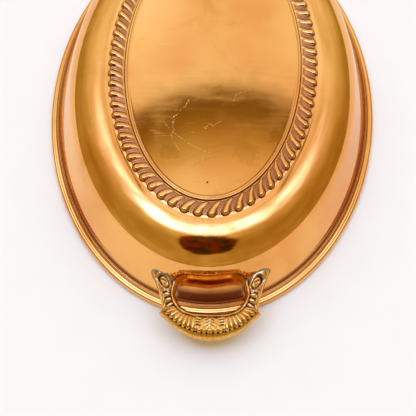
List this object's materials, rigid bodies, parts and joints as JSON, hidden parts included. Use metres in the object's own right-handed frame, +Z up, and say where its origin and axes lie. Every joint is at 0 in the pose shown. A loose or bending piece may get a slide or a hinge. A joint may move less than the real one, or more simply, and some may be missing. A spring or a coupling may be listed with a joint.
{
  "type": "oval dish cover",
  "caption": "Oval polished copper dish cover with a flat gadroon-bordered panel, a rolled flanged rim and a cast handle soldered at each end.",
  "frame": {"origin": "middle of the oval on the surface that the rim stands on", "axes": "+Z up, out of the flat panel; +Y along the oval's long axis from the front handle to the rear handle; +X across the oval"},
  "size_m": [0.1682, 0.2742, 0.0391],
  "materials": {
    "copper_sheet": "polished copper sheet, warm and slightly tarnished, with fine scratches",
    "copper_wire": "drawn copper wire, hidden in the rolled edge",
    "cast_copper": "cast and chased copper alloy, polished on its high places and dark in its hollows",
    "solder": "grey soft solder with blue-green tarnish at its edge"
  },
  "bodies": {
    "root": {"body": "copper_sheet", "rim_wire": "copper_wire", "front_handle": "cast_copper", "rear_handle": "cast_copper", "front_left_solder": "solder", "front_right_solder": "solder", "rear_left_solder": "solder", "rear_right_solder": "solder"}
  },
  "joints": []
}
